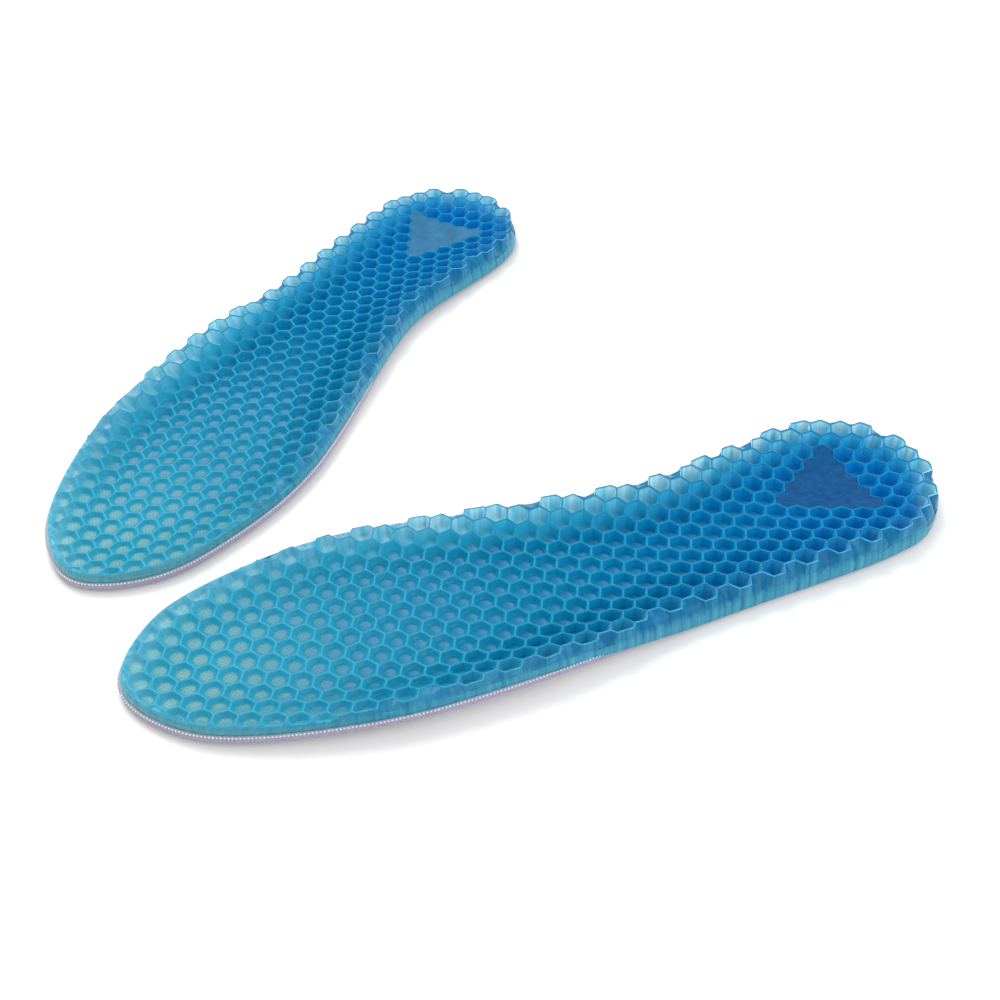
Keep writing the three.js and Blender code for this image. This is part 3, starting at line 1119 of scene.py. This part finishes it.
def woven_polyester():
    """Polyester, woven: a pale dry cloth with its threads in relief and a greyer cut edge."""
    material, tree, shader = new_material("Woven polyester", {
        "Roughness": 0.85, "Sheen Weight": 0.3})
    place = add_node(tree, "ShaderNodeAttribute", attribute_name="insole_mm").outputs["Vector"]
    depth = add_node(tree, "ShaderNodeAttribute", attribute_name="cell_depth").outputs["Fac"]
    waves = []
    # Threads are 0.4 mm apart, drawn at 0.8 mm so that they show.
    for direction in ("X", "Y"):
        waves.append(add_node(tree, "ShaderNodeTexWave", {
            "Vector": place, "Scale": 0.39, "Distortion": 0.3, "Detail": 1.0},
            bands_direction=direction).outputs["Fac"])
    relief = add_node(tree, "ShaderNodeMath", {0: waves[0], 1: waves[1]}, operation="MAXIMUM")
    fray = add_node(tree, "ShaderNodeTexNoise", {
        "Vector": place, "Scale": 1.1, "Detail": 4.0, "Roughness": 0.7}).outputs["Fac"]
    base = add_node(tree, "ShaderNodeMix", {
        "Factor": depth, "A": colour("fabric"), "B": colour("fabric_edge")}, data_type="RGBA")
    shade = add_node(tree, "ShaderNodeValToRGB", {"Fac": fray}, stops=[
        (0.3, (0.7, 0.7, 0.72, 1)), (0.7, (1, 1, 1, 1))]).outputs["Color"]
    tinted = add_node(tree, "ShaderNodeMix", {
        "Factor": 0.8, "A": base.outputs["Result"], "B": shade}, data_type="RGBA",
        blend_type="MULTIPLY")
    tree.links.new(tinted.outputs["Result"], shader.inputs["Base Color"])
    bump = add_node(tree, "ShaderNodeBump", {
        "Height": relief.outputs["Value"], "Strength": 0.7, "Distance": 0.25 * MM})
    tree.links.new(bump.outputs["Normal"], shader.inputs["Normal"])
    return material


def spun_thread():
    """Polyester thread, spun: small white loops with a soft shine."""
    material, tree, shader = new_material("Spun thread", {"Roughness": 0.6})
    place = add_node(tree, "ShaderNodeAttribute", attribute_name="insole_mm").outputs["Vector"]
    twist = add_node(tree, "ShaderNodeTexNoise", {
        "Vector": place, "Scale": 2.5, "Detail": 2.0}).outputs["Fac"]
    white = colour("thread")
    shade = add_node(tree, "ShaderNodeValToRGB", {"Fac": twist}, stops=[
        (0.35, shaded(white, 0.75)), (0.6, white)]).outputs["Color"]
    tree.links.new(shade, shader.inputs["Base Color"])
    return material


def studio_paper():
    """Paper backdrop, uncoated: a plain pale sweep with almost no texture."""
    material, tree, shader = new_material("Studio paper", {"Roughness": 0.9})
    grain = add_node(tree, "ShaderNodeTexNoise", {"Scale": 300.0, "Detail": 2.0}).outputs["Fac"]
    white = colour("floor")
    shade = add_node(tree, "ShaderNodeValToRGB", {"Fac": grain}, stops=[
        (0.0, shaded(white, 0.985)), (1.0, white)]).outputs["Color"]
    tree.links.new(shade, shader.inputs["Base Color"])
    return material


# ---------------------------------------------------------------- operators

# The stage, in metres, watts and degrees. A lamp has its name, place, size and power.
LAMPS = (("key", (-0.5, 0.7, 1.1), 0.9, 14.0), ("fill", (0.9, -0.7, 0.9), 1.0, 7.0))
DAYLIGHT = 0.85
FLOOR_HALF_WIDTH = 3.0
CAMERA_PLACE = (0.0008, -0.3824, 0.2883)
CAMERA_TILT = 49.11
CAMERA_LENS_MM = 46.8


class INSOLES_OT_stage(bpy.types.Operator):
    """Make the floor, the lights and the camera"""

    bl_idname = "insoles.stage"
    bl_label = "Stage"

    def execute(self, context):
        scene = context.scene
        mesh = bpy.data.meshes.new("floor")
        half = FLOOR_HALF_WIDTH
        mesh.from_pydata([(-half, -half, 0), (half, -half, 0), (half, half, 0), (-half, half, 0)],
                         [], [(0, 1, 2, 3)])
        mesh.materials.append(studio_paper())
        floor = bpy.data.objects.new("floor", mesh)
        scene.collection.objects.link(floor)
        for name, place, size, power in LAMPS:
            light = bpy.data.lights.new(name, "AREA")
            light.size = size
            light.energy = power
            lamp = bpy.data.objects.new(name, light)
            lamp.location = place
            lamp.rotation_euler = (-Vector(place)).to_track_quat("-Z", "Y").to_euler()
            scene.collection.objects.link(lamp)
        world = bpy.data.worlds.new("studio")
        world.use_nodes = True
        sky = world.node_tree.nodes["Background"]
        sky.inputs["Color"].default_value = (1, 1, 1, 1)
        sky.inputs["Strength"].default_value = DAYLIGHT
        scene.world = world
        scene.view_settings.view_transform = "Standard"
        camera = bpy.data.cameras.new("camera")
        camera.sensor_width = 36.0
        camera.lens = CAMERA_LENS_MM
        camera.clip_start = 0.01
        body = bpy.data.objects.new("camera", camera)
        body.location = CAMERA_PLACE
        body.rotation_euler = (math.radians(CAMERA_TILT), 0.0, 0.0)
        scene.collection.objects.link(body)
        scene.camera = body
        return {"FINISHED"}


class INSOLES_OT_gel(bpy.types.Operator):
    """Make the two honeycomb gel mouldings"""

    bl_idname = "insoles.gel"
    bl_label = "Honeycomb gel"

    def execute(self, context):
        shell = gel_shell()
        for side in SIDES:
            piece = build_piece(f"{side}_gel", side, shell, moulded_gel(side))
            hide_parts(f"{side}_honeycomb_gel")
        return {"FINISHED"}


class INSOLES_OT_pads(bpy.types.Operator):
    """Make the triangular pad in each heel"""

    bl_idname = "insoles.pads"
    bl_label = "Heel pads"

    def execute(self, context):
        shell = pad_shell()
        for side in SIDES:
            piece = build_piece(f"{side}_pad", side, shell, cast_gel(side))
            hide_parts(f"{side}_heel_pad")
        return {"FINISHED"}


class INSOLES_OT_backing(bpy.types.Operator):
    """Make the woven backing under each insole, with the loops along its edge"""

    bl_idname = "insoles.backing"
    bl_label = "Fabric backing"

    def execute(self, context):
        cloth, thread = woven_polyester(), spun_thread()
        shell, loops = fabric_shell(), loop_shell()
        for side in SIDES:
            piece = build_piece(f"{side}_backing", side, shell, cloth)
            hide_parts(f"{side}_fabric_backing")
            edge = build_piece(f"{side}_edge_loops", side, loops, thread)
        return {"FINISHED"}


class INSOLES_PT_panel(bpy.types.Panel):
    """Lists the steps that build the insoles"""

    bl_idname = "INSOLES_PT_panel"
    bl_label = "Cushioned Insoles"
    bl_space_type = "VIEW_3D"
    bl_region_type = "UI"
    bl_category = "Insoles"

    def draw(self, context):
        layout = self.layout
        for group in (context.scene.insole_sizes, context.scene.insole_colours):
            for name in group.__annotations__:
                layout.prop(group, name)
        for step in STEPS:
            layout.operator(step.bl_idname)


STEPS = (INSOLES_OT_stage, INSOLES_OT_gel, INSOLES_OT_pads, INSOLES_OT_backing)
CLASSES = (InsoleSizes, InsoleColours, *STEPS, INSOLES_PT_panel)


def register():
    for cls in CLASSES:
        bpy.utils.register_class(cls)
    bpy.types.Scene.insole_sizes = bpy.props.PointerProperty(type=InsoleSizes)
    bpy.types.Scene.insole_colours = bpy.props.PointerProperty(type=InsoleColours)


def unregister():
    del bpy.types.Scene.insole_colours
    del bpy.types.Scene.insole_sizes
    for cls in reversed(CLASSES):
        bpy.utils.unregister_class(cls)


def main():
    """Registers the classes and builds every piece."""
    register()
    bpy.ops.insoles.stage()
    bpy.ops.insoles.gel()
    bpy.ops.insoles.pads()
    bpy.ops.insoles.backing()
    bpy.context.view_layer.update()


if __name__ == "__main__":
    main()
